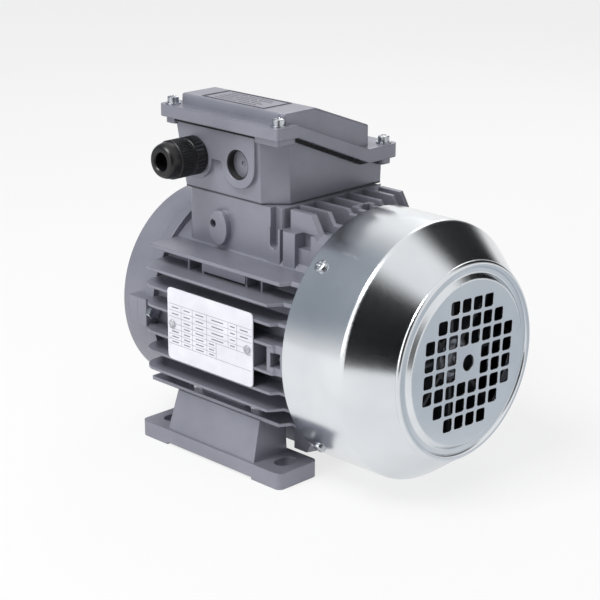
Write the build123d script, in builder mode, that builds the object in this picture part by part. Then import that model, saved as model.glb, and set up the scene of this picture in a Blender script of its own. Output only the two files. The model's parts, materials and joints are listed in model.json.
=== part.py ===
from build123d import *
from math import cos, radians, sin, sqrt
import os

os.makedirs("parts", exist_ok=True)

# A foot-mounted three-phase motor of frame size 80, in millimetres. The shaft lies along
# X, with the drive end at -X and the fan at +X. -Y is the side with the cable entries,
# and +Z is up. The origin is midway between the four foot slots, on the plane that the
# feet stand on.

# Shaft
shaft_height = 80.0
shaft_radius = 9.5
shaft_tip = -140.0
shoulder = -100.0
keyway_width = 6.0
keyway_depth = 3.5
keyway_length = 32.0
journal_radius = 10.0
stop_radius = 12.5
core_seat_radius = 13.5
core_seat_half = 50.0
fan_seat_start = 96.0
fan_seat_radius = 8.5
fan_seat_end = 128.0
edge_break = 1.0
centre_radius = 2.0
centre_depth = 6.0

# Feet
slot_pitch_x = 100.0
slot_pitch_y = 125.0
slot_width = 10.0
slot_length = 15.5
foot_length = 124.4
foot_inner = 47.3
foot_outer = 79.8
foot_thickness = 10.25
foot_corner = 4.0
foot_relief = 1.5
relief_length = 76.0
upstand_base = 77.0
upstand_length = 73.0
upstand_inner = 50.0
upstand_outer = 71.0
upstand_flare = 7.0
foot_wall = 5.0
foot_hollow_top = 25.0
foot_bolt_pitch = 51.0
foot_bolt_y = 62.0
foot_bolt_radius = 3.0
foot_bolt_boss = 6.5
foot_bolt_length = 16.5
foot_bolt_across = 10.0
foot_bolt_head = 4.0

# Frame: barrel and side fins
frame_front = -70.0
frame_back = 66.0
bore_radius = 60.0
barrel_radius = 65.0
front_collar_radius = 69.0
front_collar_length = 8.0
back_collar_radius = 67.0
back_collar_length = 4.0
seat_drop = 45.0
shelf_reach = 70.5
shelf_thickness = 2.5
cover_radius = 79.0
fin_reach = cover_radius
fin_levels = [8.55, 21.2, 32.6]
fin_tip = 1.8
fin_root = 3.2
fin_foot = 40.0
fin_end = 62.0
fin_corner = 11.0
cover_room_start = 44.0
cover_room_end = 56.0
cover_room_depth = 17.5
cover_gap = 0.3
pocket_width = 13.0
rib_thickness = 1.5
rib_reach = 65.0
bar_reach = 66.0
bar_drop = 7.0

# Frame: top, bottom and corners
pedestal_front = -53.0
pedestal_back = 28.0
pedestal_half = 46.0
pedestal_top = shaft_height + 79.0
pedestal_corner = 5.0
well_front = -49.0
well_back = -2.0
well_half = 20.0
well_floor = shaft_height + 68.0
lead_slot_back = -42.0
lead_slot_half = 18.0
cross_fins = [-28.0, -14.0, 0.0, 14.0, 28.0]
cross_fin_width = 2.6
cross_fin_slope = 5.0
cheek_start = 31.5
cheek_end = 57.0
cheek_outer = 40.5
cheek_thickness = 3.8
cheek_drop = 8.4
cheek_lean = 6.0
corner_start = 32.0
corner_inner = 30.0
corner_outer = 43.5
corner_top = shaft_height + 67.0
boss_start = 18.0
boss_end = 41.0
boss_outer = 46.5
boss_slot_x = 23.5
boss_slot_width = 6.5
boss_slot_floor = shaft_height + 54.0
boss_slot_depth = 5.0
groove_start = 28.5
groove_width = 2.6
groove_depth = 3.0
notch_start = 41.0
notch_end = 51.0
notch_floor = shaft_height + 58.0
notch_depth = 6.0
belly_fin_floor = shaft_height - 74.0
belly_start = 42.0
belly_outer = 47.0
belly_floor = shaft_height - 68.0
earth_pad_x = -22.0
earth_pad_z = shaft_height + 59.0
earth_pad_width = 16.0
earth_pad_height = 22.0
earth_pad_proud = 4.0
earth_hole_x = -26.0
earth_hole_z = shaft_height + 61.0
earth_hole_radius = 2.5
earth_hole_depth = 10.0

# Bolts of the shields, at the sides, the top and the bottom
bolt_circle = 70.5
bolt_radius = 2.5
bolt_across = 8.0
bolt_head = 3.5
lug_width = 18.0
lug_reach = 74.5
block_start = 50.0
block_reach = 78.5
block_width = 15.4
block_pocket_start = 53.0
block_pocket_end = 60.0
block_pocket_width = 9.0
block_pocket_floor = 65.0

# Bearings, 20 x 47 x 14
bearing_width = 14.0
bearing_radius = 23.5
front_bearing = -91.0
back_bearing = 76.0
inner_land = 14.1
outer_land = 19.4
ball_circle = 16.75
ball_radius = 3.97
ball_count = 8
ball_gap = 0.15
cage_inner = 15.3
cage_outer = 18.2
cage_width = 9.0
washer_thickness = 1.5
washer_inner = 18.0
seal_radius = 17.5
seal_width = 6.0
seal_gap = 0.1

# End shields
shield_radius = 66.8
shield_edge = 2.0
spigot_length = 5.0
spigot_wall = 4.0
front_shield_face = -94.5
front_shield_hub = -98.0
shield_wall = 5.0
hub_radius = 30.0
lip_thickness = 1.0
lip_bore = 14.0
front_lug_length = 8.0
face_recess = 2.0
face_recess_inner = 37.0
face_recess_outer = 59.0
face_ribs = 6
face_rib_width = 6.0
back_shield_rim = 76.0
back_shield_hub = 94.0
back_hub_foot = 88.0
back_lug_length = 9.0
cover_lug_end = 78.0
cover_lug_width = 14.0

# Stator and rotor
core_half = 40.0
stator_bore = 35.3
air_gap = 0.3
slot_count = 24
slot_floor = 52.0
slot_mouth = 37.5
winding_slot_width = 5.0
mouth_width = 2.5
winding_end = 60.0
winding_inner = 38.5
winding_outer = 56.0
cage_ring_end = 47.0
cage_ring_inner = 20.0
cage_ring_outer = 33.0
paddle_count = 8
paddle_end = 53.0
paddle_width = 3.0
lead_x = -45.5
lead_radius = 1.4
lead_pitch = 6.0
lead_top = 168.0

# Fan
fan_front = 98.0
fan_plate = 2.5
fan_plate_radius = 64.0
fan_hub_radius = 14.0
fan_back = 124.0
blade_count = 8
blade_thickness = 2.2
blade_reach = 66.0
blade_tip_reach = 60.0
blade_break = 110.0
clip_thickness = 1.2
clip_radius = 11.5

# Fan cover
cover_front = 63.0
cover_sheet = 1.2
cover_shoulder = 109.0
cover_shoulder_round = 5.0
cover_lip = 134.5
cover_lip_radius = 60.0
bead_height = 1.4
bead_round = 1.3
groove_outer = 56.0
groove_inner = 53.0
disc_radius = 50.0
cover_back = 137.0
peep_radius = 5.0
grille_pitch = 10.1
grille_hole = 8.1
grille_hole_corner = 1.6
grille_turn = -3.2
grille_rows = [4, 6, 8, 8, 8, 8, 6, 4]
grille_hub = 10.0
cover_screw_x = 72.0
cover_screw_angles = [45, 135, 225, 315]
cover_screw_radius = 2.0
cover_screw_head = 4.0
cover_screw_rise = 2.4
cover_screw_depth = 11.0

# Terminal box
box_gasket_thickness = 1.0
box_bottom = pedestal_top + box_gasket_thickness
box_top = box_bottom + 39.5
box_front = -54.0
box_front_top = -61.0
box_back = 24.5
box_half = 46.0
box_half_top = 47.5
box_chamfer = 12.5
box_wall = 3.5
box_floor = 3.0
rim_near = -36.0
rim_far = 26.0
rim_far_level = box_bottom + 14.1
ear_outer = 49.7
ear_inner = 40.5
ear_corner = 2.5
ear_below = 2.0
ear_seat = 1.5
box_screw_front = -46.0
box_screw_back = 6.0
box_screw_y = 37.0
box_screw_radius = 2.5
box_screw_head = 4.2
box_screw_rise = 3.0
box_screw_length = 14.0

# Cable entries
entry_z = box_bottom + 21.0
entry_face = 49.0
entry_pad_radius = 14.5
entry_back = 42.0
blank_x = -5.0
blank_radius = 9.25
blank_depth = 5.0
blank_mark_radius = 1.5
blank_mark_depth = 0.8
gland_x = -42.5
thread_radius = 8.0
sleeve_radius = 10.0
gland_radius = 12.0
gland_bore = 5.5
gland_body_end = 58.0
gland_nut_end = 70.0
gland_tip = 77.0
gland_tip_radius = 9.0
gland_seal_radius = 8.0
locknut_across = 20.0
locknut_thickness = 4.0

# Lid and its gasket
gasket_thickness = 2.2
gasket_proud = 2.0
gasket_lap = 1.5
lid_x = -19.25
lid_half = 52.6
lid_edge = 7.4
lid_far_edge = 8.6
lid_corner = 4.0
plateau_front = -62.0
plateau_back = 27.4
plateau_near = -43.0
plateau_break = -15.0
plateau_far = 32.5
plateau_rise = 6.6
plateau_far_rise = 13.2
plateau_round = 3.0
plateau_edge = 1.5
lid_wall = 3.0
lid_screw_offset = 46.0
lid_screw_radius = 2.0
lid_screw_head = 3.6
lid_screw_rise = 4.0
lid_screw_length = 12.0
lid_washer_radius = 4.8
lid_washer_thickness = 0.8

# Terminals
board_x = -20.0
board_length = 36.0
board_width = 62.0
board_level = box_bottom + 8.0
board_thickness = 5.0
board_foot = 7.0
stud_pitch_x = 20.0
stud_pitch_y = 16.0
stud_radius = 2.5
stud_top = board_level + 18.0
link_thickness = 1.0
link_width = 8.0
nut_across = 8.0
nut_height = 4.0
board_screw_y = 27.0
board_screw_radius = 1.9
earth_screw_x = 12.0
earth_screw_y = 15.0

# Rating plate
plate_x = 2.2
plate_z = shaft_height + 2.15
plate_length = 75.0
plate_height = 46.0
plate_thickness = 0.8
plate_corner = 3.0
rivet_pitch = 66.0
rivet_radius = 1.5
rivet_pad = 8.0
rivet_head = 2.6
rivet_rise = 0.8
rivet_length = 6.0

# Clearance round a bolt or in a seat
fit = 0.05
hole_gap = 0.15

axle = Axis((0, 0, shaft_height), (1, 0, 0))
lengthwise = Plane(origin=(0, 0, shaft_height), x_dir=(1, 0, 0), z_dir=(0, -1, 0))


def across(x, turn=0):
    # A plane square to the shaft at x. Its own x is Y and its own y is the height above
    # the shaft, unless it is turned, and what grows from it grows towards the fan.
    sideways = (0, cos(radians(turn)), sin(radians(turn)))
    return Plane(origin=(x, 0, shaft_height), x_dir=sideways, z_dir=(1, 0, 0))


def spoke(x, radius, angle):
    # A plane that faces away from the shaft at this angle above +Y.
    out = (0, cos(radians(angle)), sin(radians(angle)))
    place = (x, radius * out[1], shaft_height + radius * out[2])
    return Plane(origin=place, x_dir=(1, 0, 0), z_dir=out)


def turned(*corners):
    # A face with corners at (place along the shaft, radius), to be revolved.
    with BuildSketch(lengthwise) as face:
        with BuildLine():
            Polyline(*corners, close=True)
        make_face()
    return face.sketch


def outline(*corners):
    # A closed face through these corners of the plane that it is drawn on.
    with BuildSketch() as face:
        with BuildLine():
            Polyline(*corners, close=True)
        make_face()
    return face.sketch


def save(piece, name):
    piece.part.label = name
    export_step(piece.part, f"parts/{name}.step")


# Frame casting: side fins on a finned barrel
seat_top = shaft_height + seat_drop
inner_seat = seat_drop - shelf_thickness
rib_height = inner_seat - fin_levels[-1]
box_screw_places = [
    (place, side * box_screw_y)
    for place in (box_screw_front, box_screw_back)
    for side in (1, -1)
]

with BuildPart() as stator_frame:
    with BuildSketch(across(-fin_end)):
        for level in fin_levels:
            for side in (1, -1):
                add(outline(
                    (fin_foot, side * level - fin_root / 2),
                    (fin_reach, side * level - fin_tip / 2),
                    (fin_reach, side * level + fin_tip / 2),
                    (fin_foot, side * level + fin_root / 2),
                ))
        for side in (1, -1):
            with Locations((shelf_reach / 2, side * (seat_drop - shelf_thickness / 2))):
                Rectangle(shelf_reach, shelf_thickness)
        mirror(about=Plane.YZ)
    extrude(amount=2 * fin_end)
    # corners of the fins rounded at the drive end
    with BuildSketch(Plane.XY) as plan:
        Rectangle(2 * fin_end, 2 * fin_reach)
        fillet(plan.vertices().group_by(Axis.X)[0], fin_corner)
    extrude(amount=2 * shaft_height, mode=Mode.INTERSECT)
    # ribs that box in the foot bolts, and the bar between each pair of them
    for side in (1, -1):
        with BuildSketch(Plane.XY.offset(shaft_height + side * inner_seat)):
            for place in (foot_bolt_pitch / 2 - pocket_width / 2, foot_bolt_pitch / 2 + pocket_width / 2):
                with Locations((place, 0), (-place, 0)):
                    Rectangle(rib_thickness, 2 * rib_reach)
        extrude(amount=-side * rib_height)
        with BuildSketch(Plane.XY.offset(shaft_height + side * inner_seat)):
            Rectangle(foot_bolt_pitch - pocket_width, 2 * bar_reach)
        extrude(amount=-side * bar_drop)
    # fins along the top, short of the terminal box, and under the belly
    with BuildSketch(Plane.XZ):
        add(outline(
            (pedestal_back - pedestal_corner, shaft_height),
            (pedestal_back - pedestal_corner, pedestal_top),
            (cheek_end, pedestal_top),
            (fin_end, pedestal_top - cross_fin_slope),
            (fin_end, shaft_height),
        ))
    extrude(amount=cross_fins[-1] + cross_fin_width / 2, both=True)
    for start, end in zip(cross_fins[:-1], cross_fins[1:]):
        with BuildSketch(across(pedestal_back)):
            with Locations(((start + end) / 2, (pedestal_top - shaft_height) / 2)):
                Rectangle(end - start - cross_fin_width, pedestal_top - shaft_height)
        extrude(amount=fin_end - pedestal_back, mode=Mode.SUBTRACT)
    with BuildSketch(across(-fin_end)):
        for place in cross_fins:
            if place != 0:
                with Locations((place, (belly_fin_floor - shaft_height) / 2)):
                    Rectangle(cross_fin_width, shaft_height - belly_fin_floor)
    extrude(amount=2 * fin_end)
    # pedestal for the terminal box
    with BuildSketch(Plane.XY.offset(shaft_height)) as pad:
        with Locations(((pedestal_front + pedestal_back) / 2, 0)):
            Rectangle(pedestal_back - pedestal_front, 2 * pedestal_half)
        fillet(pad.vertices(), pedestal_corner)
    extrude(amount=pedestal_top - shaft_height)
    for side in (1, -1):
        # cheek plate beside the top fins, its end leaning back
        with BuildSketch(Plane.XZ.offset(side * (cheek_outer - cheek_thickness))):
            add(outline(
                (cheek_start, shaft_height),
                (cheek_start, pedestal_top),
                (cheek_end, pedestal_top),
                (cheek_end + cheek_lean, pedestal_top - cheek_drop),
                (cheek_end + cheek_lean, shaft_height),
            ))
        extrude(amount=side * cheek_thickness)
        # solid corners above and below, and the boss beside the pedestal
        with BuildSketch(Plane.XY.offset(shaft_height)):
            with Locations(((corner_start + fin_end) / 2, side * (corner_inner + corner_outer) / 2)):
                Rectangle(fin_end - corner_start, corner_outer - corner_inner)
            with Locations(((boss_start + boss_end) / 2, side * (corner_inner + boss_outer) / 2)):
                Rectangle(boss_end - boss_start, boss_outer - corner_inner)
        extrude(amount=corner_top - shaft_height)
        with BuildSketch(Plane.XY.offset(shaft_height)):
            with Locations(((belly_start + fin_end) / 2, side * (corner_inner + belly_outer) / 2)):
                Rectangle(fin_end - belly_start, belly_outer - corner_inner)
        extrude(amount=belly_floor - shaft_height)
        # groove beside the pedestal, slot in the boss and notch in the corner behind it
        with BuildSketch(Plane.XY.offset(seat_top)):
            with Locations((groove_start + groove_width / 2, side * (boss_outer - groove_depth / 2))):
                Rectangle(groove_width, groove_depth)
        extrude(amount=pedestal_top - seat_top, mode=Mode.SUBTRACT)
        with BuildSketch(Plane.XZ.offset(-side * (boss_outer - boss_slot_depth))):
            with Locations((boss_slot_x, boss_slot_floor + pedestal_top - seat_top)):
                SlotOverall(2 * (pedestal_top - seat_top), boss_slot_width, rotation=90)
        extrude(amount=-side * boss_slot_depth, mode=Mode.SUBTRACT)
        with BuildSketch(Plane.XY.offset(notch_floor)):
            with Locations(((notch_start + notch_end) / 2, side * (corner_outer - notch_depth / 2))):
                Rectangle(notch_end - notch_start, notch_depth)
        extrude(amount=corner_top - notch_floor, mode=Mode.SUBTRACT)
    # pads that the rating plate's rivets hold in
    with BuildSketch(Plane.XZ):
        with GridLocations(rivet_pitch, 0, 2, 1):
            with Locations((plate_x, shaft_height)):
                Rectangle(rivet_pad, 2 * fin_levels[0])
    extrude(amount=fin_reach)
    # barrel, lugs at the drive end and bolt blocks at the fan end
    revolve(turned(
        (frame_front, 0),
        (frame_front, front_collar_radius),
        (frame_front + front_collar_length, front_collar_radius),
        (frame_front + front_collar_length, barrel_radius),
        (frame_back - back_collar_length, barrel_radius),
        (frame_back - back_collar_length, back_collar_radius),
        (frame_back, back_collar_radius),
        (frame_back, 0),
    ), axis=axle)
    with BuildSketch(across(frame_front)):
        with PolarLocations(lug_reach / 2, 4):
            Rectangle(lug_reach, lug_width)
    extrude(amount=front_collar_length)
    with BuildSketch(across(block_start)):
        with PolarLocations(block_reach / 2, 4):
            Rectangle(block_reach, block_width)
    extrude(amount=frame_back - block_start)
    # room for the fan cover to slip over this end
    cover_room = cover_radius - cover_sheet - cover_gap
    revolve(turned(
        (cover_room_start, cover_room + cover_room_depth),
        (cover_room_end, cover_room),
        (frame_back + 1, cover_room),
        (frame_back + 1, 2 * cover_radius),
        (cover_room_start, 2 * cover_radius),
    ), axis=axle, mode=Mode.SUBTRACT)
    with BuildSketch(across(block_pocket_start)):
        with PolarLocations(block_pocket_floor + block_reach / 2, 4):
            Rectangle(block_reach, block_pocket_width)
    extrude(amount=block_pocket_end - block_pocket_start, mode=Mode.SUBTRACT)
    with BuildSketch(across(frame_front)):
        with PolarLocations(bolt_circle, 4):
            Circle(bolt_radius + hole_gap)
    extrude(amount=front_collar_length, mode=Mode.SUBTRACT)
    with BuildSketch(across(block_pocket_end)):
        with PolarLocations(bolt_circle, 4):
            Circle(bolt_radius + hole_gap)
    extrude(amount=frame_back - block_pocket_end, mode=Mode.SUBTRACT)
    # holes for the foot bolts and, mirrored, in the shelf above
    with BuildSketch(Plane.XY.offset(shaft_height - seat_drop)):
        with GridLocations(foot_bolt_pitch, 2 * foot_bolt_y, 2, 2):
            Circle(foot_bolt_radius + hole_gap)
    extrude(amount=shelf_thickness, mode=Mode.SUBTRACT)
    # earth pad with its empty hole, as on both sides of such a casting
    with BuildSketch(Plane.XZ.offset(pedestal_half)):
        with Locations((earth_pad_x, earth_pad_z)):
            Ellipse(earth_pad_width / 2, earth_pad_height / 2)
    extrude(amount=earth_pad_proud)
    with BuildSketch(Plane.XZ.offset(pedestal_half + earth_pad_proud)):
        with Locations((earth_hole_x, earth_hole_z)):
            Circle(earth_hole_radius)
    extrude(amount=-earth_hole_depth, mode=Mode.SUBTRACT)
    # well under the terminal box, and the slot that the leads come up through
    with BuildSketch(Plane.XY.offset(well_floor)):
        with Locations(((well_front + well_back) / 2, 0)):
            Rectangle(well_back - well_front, 2 * well_half)
    extrude(amount=pedestal_top - well_floor, mode=Mode.SUBTRACT)
    with BuildSketch(Plane.XY.offset(shaft_height)):
        with Locations(((well_front + lead_slot_back) / 2, 0)):
            Rectangle(lead_slot_back - well_front, 2 * lead_slot_half)
    extrude(amount=pedestal_top - shaft_height, mode=Mode.SUBTRACT)
    with BuildSketch(Plane.XY.offset(pedestal_top)):
        with Locations(*box_screw_places):
            Circle(box_screw_radius + hole_gap)
    extrude(amount=-box_screw_length, mode=Mode.SUBTRACT)
    with BuildSketch(Plane.XZ.offset(fin_reach)):
        with GridLocations(rivet_pitch, 0, 2, 1):
            with Locations((plate_x, plate_z)):
                Circle(rivet_radius + fit)
    extrude(amount=-rivet_length, mode=Mode.SUBTRACT)
    # the bore, last of all
    with BuildSketch(across(frame_front)):
        Circle(bore_radius)
    extrude(amount=frame_back - frame_front, mode=Mode.SUBTRACT)
save(stator_frame, "stator_frame")

# Feet: a slotted plate with a flared upstand, hollow from below round two bolt bosses
seat_bottom = shaft_height - seat_drop

for side, name in ((-1, "foot_near"), (1, "foot_far")):
    with BuildPart() as foot:
        with BuildSketch(Plane.XY) as sole:
            with Locations((0, side * (foot_inner + foot_outer) / 2)):
                Rectangle(foot_length, foot_outer - foot_inner)
            fillet(sole.vertices(), foot_corner)
        extrude(amount=foot_thickness)
        middle = (upstand_inner + upstand_outer + upstand_flare) / 2
        with BuildSketch(Plane.XY.offset(foot_thickness)):
            with Locations((0, side * middle)):
                Rectangle(upstand_base, upstand_outer + upstand_flare - upstand_inner)
        with BuildSketch(Plane.XY.offset(seat_bottom)):
            with Locations((0, side * (upstand_inner + upstand_outer) / 2)):
                Rectangle(upstand_length, upstand_outer - upstand_inner)
        loft()
        with BuildSketch(Plane.XY):
            with Locations((0, side * (foot_inner + foot_outer) / 2)):
                Rectangle(relief_length, foot_outer - foot_inner)
        extrude(amount=foot_relief, mode=Mode.SUBTRACT)
        with BuildSketch(Plane.XY):
            with Locations((0, side * (upstand_inner + upstand_outer) / 2)):
                Rectangle(upstand_length - 2 * foot_wall, upstand_outer - upstand_inner - 2 * foot_wall)
            with GridLocations(foot_bolt_pitch, 0, 2, 1):
                with Locations((0, side * foot_bolt_y)):
                    Circle(foot_bolt_boss, mode=Mode.SUBTRACT)
        extrude(amount=foot_hollow_top, mode=Mode.SUBTRACT)
        with BuildSketch(Plane.XY):
            with GridLocations(slot_pitch_x, 0, 2, 1):
                with Locations((0, side * slot_pitch_y / 2)):
                    SlotOverall(slot_length, slot_width, rotation=90)
        extrude(amount=foot_thickness, mode=Mode.SUBTRACT)
        with BuildSketch(Plane.XY.offset(seat_bottom)):
            with GridLocations(foot_bolt_pitch, 0, 2, 1):
                with Locations((0, side * foot_bolt_y)):
                    Circle(foot_bolt_radius + fit)
        extrude(amount=-foot_bolt_length, mode=Mode.SUBTRACT)
    save(foot, name)

# Hexagon bolts that hold the feet, put in from above through the shelf
with BuildPart() as foot_bolts:
    with BuildSketch(Plane.XY.offset(seat_bottom + shelf_thickness)):
        with GridLocations(foot_bolt_pitch, 2 * foot_bolt_y, 2, 2):
            RegularPolygon(foot_bolt_across / 2, 6, major_radius=False, rotation=30)
    extrude(amount=foot_bolt_head)
    with BuildSketch(Plane.XY.offset(seat_bottom + shelf_thickness)):
        with GridLocations(foot_bolt_pitch, 2 * foot_bolt_y, 2, 2):
            Circle(foot_bolt_radius)
    extrude(amount=-foot_bolt_length)
save(foot_bolts, "foot_bolts")

# Drive-end shield: spigot, shallow dish with a ribbed recess, bearing seat and seal seat
seat_radius = bearing_radius + fit
front_bearing_back = front_bearing + bearing_width
cavity_radius = bore_radius - spigot_wall

with BuildPart() as drive_shield:
    revolve(turned(
        (frame_front + spigot_length, cavity_radius),
        (frame_front + spigot_length, bore_radius - fit),
        (frame_front, bore_radius - fit),
        (frame_front, shield_radius),
        (front_shield_face + shield_edge, shield_radius),
        (front_shield_face, shield_radius - shield_edge),
        (front_shield_face, hub_radius + 4),
        (front_shield_hub, hub_radius),
        (front_shield_hub, seal_radius + fit),
        (front_bearing - lip_thickness, seal_radius + fit),
        (front_bearing - lip_thickness, lip_bore),
        (front_bearing, lip_bore),
        (front_bearing, seat_radius),
        (front_bearing_back, seat_radius),
        (front_bearing_back, hub_radius),
        (front_shield_face + shield_wall + 3, hub_radius + 2),
        (front_shield_face + shield_wall, cavity_radius),
    ), axis=axle)
    with BuildSketch(across(front_shield_face)):
        Circle(face_recess_outer)
        Circle(face_recess_inner, mode=Mode.SUBTRACT)
        with PolarLocations(shield_radius / 2, face_ribs):
            Rectangle(shield_radius, face_rib_width, mode=Mode.SUBTRACT)
    extrude(amount=face_recess, mode=Mode.SUBTRACT)
    with BuildSketch(across(frame_front)):
        with PolarLocations((cavity_radius + lug_reach) / 2 + spigot_wall / 2, 4):
            Rectangle(lug_reach - bore_radius, lug_width)
    extrude(amount=-front_lug_length)
    with BuildSketch(across(frame_front)):
        with PolarLocations(bolt_circle, 4):
            Circle(bolt_radius + fit)
    extrude(amount=-front_lug_length, mode=Mode.SUBTRACT)
save(drive_shield, "drive_shield")

# Fan-end shield: spigot, cone down to the bearing hub, lugs for bolts and cover screws
back_bearing_end = back_bearing + bearing_width
washer_end = back_bearing_end + washer_thickness
cover_bore = cover_radius - cover_sheet

with BuildPart() as fan_shield:
    revolve(turned(
        (frame_back - spigot_length, cavity_radius),
        (frame_back - spigot_length, bore_radius - fit),
        (frame_back, bore_radius - fit),
        (frame_back, shield_radius),
        (back_shield_rim, shield_radius),
        (back_hub_foot, hub_radius + 4),
        (back_shield_hub, hub_radius),
        (back_shield_hub, lip_bore),
        (washer_end, lip_bore),
        (washer_end, seat_radius),
        (back_bearing, seat_radius),
        (back_bearing, hub_radius),
        (back_hub_foot - shield_wall - 2, hub_radius + 2),
        (back_shield_rim - shield_wall, cavity_radius),
    ), axis=axle)
    with BuildSketch(across(frame_back)):
        with PolarLocations((bore_radius + lug_reach) / 2, 4):
            Rectangle(lug_reach - bore_radius, lug_width)
    extrude(amount=back_lug_length)
    with BuildSketch(across(frame_back)):
        with PolarLocations((bore_radius + cover_bore - cover_gap) / 2, 4, start_angle=45):
            Rectangle(cover_bore - cover_gap - bore_radius, cover_lug_width)
    extrude(amount=cover_lug_end - frame_back)
    revolve(turned(
        (frame_back, cover_bore - cover_gap),
        (frame_back, cover_radius + 5),
        (cover_lug_end, cover_radius + 5),
        (cover_lug_end, cover_bore - cover_gap),
    ), axis=axle, mode=Mode.SUBTRACT)
    with BuildSketch(across(frame_back)):
        with PolarLocations(bolt_circle, 4):
            Circle(bolt_radius + fit)
    extrude(amount=back_lug_length, mode=Mode.SUBTRACT)
    with BuildSketch(*[spoke(cover_screw_x, cover_bore, angle) for angle in cover_screw_angles]):
        Circle(cover_screw_radius + fit)
    extrude(amount=-(cover_screw_depth - cover_sheet), mode=Mode.SUBTRACT)
save(fan_shield, "fan_shield")

# Shield bolts: heads behind the lugs at the drive end and in the pockets at the fan end
front_head = frame_front + front_collar_length

with BuildPart() as drive_shield_bolts:
    with BuildSketch(across(front_head)):
        with PolarLocations(bolt_circle, 4):
            RegularPolygon(bolt_across / 2, 6, major_radius=False)
    extrude(amount=bolt_head)
    with BuildSketch(across(front_head)):
        with PolarLocations(bolt_circle, 4):
            Circle(bolt_radius)
    extrude(amount=-front_collar_length - front_lug_length)
save(drive_shield_bolts, "drive_shield_bolts")

with BuildPart() as fan_shield_bolts:
    with BuildSketch(across(block_pocket_end)):
        with PolarLocations(bolt_circle, 4):
            RegularPolygon(bolt_across / 2, 6, major_radius=False)
    extrude(amount=-bolt_head)
    with BuildSketch(across(block_pocket_end)):
        with PolarLocations(bolt_circle, 4):
            Circle(bolt_radius)
    extrude(amount=frame_back - block_pocket_end + back_lug_length)
save(fan_shield_bolts, "fan_shield_bolts")

# Stator core with open slots, and the winding that fills them
slot_middle = (slot_floor + slot_mouth) / 2

with BuildPart() as stator_core:
    with BuildSketch(across(-core_half)):
        Circle(bore_radius - fit)
        Circle(stator_bore, mode=Mode.SUBTRACT)
        with PolarLocations(slot_middle, slot_count):
            Rectangle(slot_floor - slot_mouth, winding_slot_width, mode=Mode.SUBTRACT)
        with PolarLocations((slot_mouth + stator_bore) / 2, slot_count):
            Rectangle(slot_mouth - stator_bore + 1, mouth_width, mode=Mode.SUBTRACT)
    extrude(amount=2 * core_half)
save(stator_core, "stator_core")

with BuildPart() as winding:
    for start, end in ((-winding_end, -core_half), (core_half, winding_end)):
        with BuildSketch(across(start)):
            Circle(winding_outer)
            Circle(winding_inner, mode=Mode.SUBTRACT)
        extrude(amount=end - start)
    with BuildSketch(across(-core_half)):
        with PolarLocations(slot_middle, slot_count):
            Rectangle(slot_floor - slot_mouth - 2 * hole_gap, winding_slot_width - 2 * hole_gap)
    extrude(amount=2 * core_half)
save(winding, "winding")

# Leads up from the winding to the terminals
lead_places = [lead_pitch * (index - 2.5) for index in range(6)]

with BuildPart() as motor_leads:
    for place in lead_places:
        rise = sqrt(winding_outer ** 2 - (abs(place) - lead_radius) ** 2) + fit
        with BuildSketch(Plane.XY.offset(shaft_height + rise)):
            with Locations((lead_x, place)):
                Circle(lead_radius)
        extrude(amount=lead_top - shaft_height - rise)
save(motor_leads, "motor_leads")

# Ball bearings
def bearing_pieces(name, front):
    # The rings, the cage and the balls of a deep-groove bearing whose front face is here.
    centre = front + bearing_width / 2
    groove = ball_radius + ball_gap
    turns = [360 / ball_count * index for index in range(ball_count)]
    with BuildSketch(lengthwise) as ball_way:
        with Locations((centre, ball_circle)):
            Circle(groove)

    with BuildPart() as outer_ring:
        revolve(turned(
            (front, outer_land),
            (front, bearing_radius),
            (front + bearing_width, bearing_radius),
            (front + bearing_width, outer_land),
        ), axis=axle)
        revolve(ball_way.sketch, axis=axle, mode=Mode.SUBTRACT)
    save(outer_ring, f"{name}_bearing_outer")

    with BuildPart() as inner_ring:
        revolve(turned(
            (front, journal_radius + fit),
            (front, inner_land),
            (front + bearing_width, inner_land),
            (front + bearing_width, journal_radius + fit),
        ), axis=axle)
        revolve(ball_way.sketch, axis=axle, mode=Mode.SUBTRACT)
    save(inner_ring, f"{name}_bearing_inner")

    with BuildPart() as balls:
        with Locations(*[spoke(centre, ball_circle, angle) for angle in turns]):
            Sphere(ball_radius)
    save(balls, f"{name}_bearing_balls")

    with BuildPart() as cage:
        with BuildSketch(across(centre - cage_width / 2)):
            Circle(cage_outer)
            Circle(cage_inner, mode=Mode.SUBTRACT)
        extrude(amount=cage_width)
        with BuildSketch(*[spoke(centre, 0, angle) for angle in turns]):
            Circle(groove)
        extrude(amount=bearing_radius, mode=Mode.SUBTRACT)
    save(cage, f"{name}_bearing_cage")


bearing_pieces("drive", front_bearing)
bearing_pieces("fan", back_bearing)

with BuildPart() as preload_washer:
    with BuildSketch(across(back_bearing_end)):
        Circle(bearing_radius - fit)
        Circle(washer_inner, mode=Mode.SUBTRACT)
    extrude(amount=washer_thickness)
save(preload_washer, "preload_washer")

with BuildPart() as shaft_seal:
    with BuildSketch(across(front_bearing - lip_thickness)):
        Circle(seal_radius)
        Circle(journal_radius + seal_gap, mode=Mode.SUBTRACT)
    extrude(amount=-seal_width)
save(shaft_seal, "shaft_seal")

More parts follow.
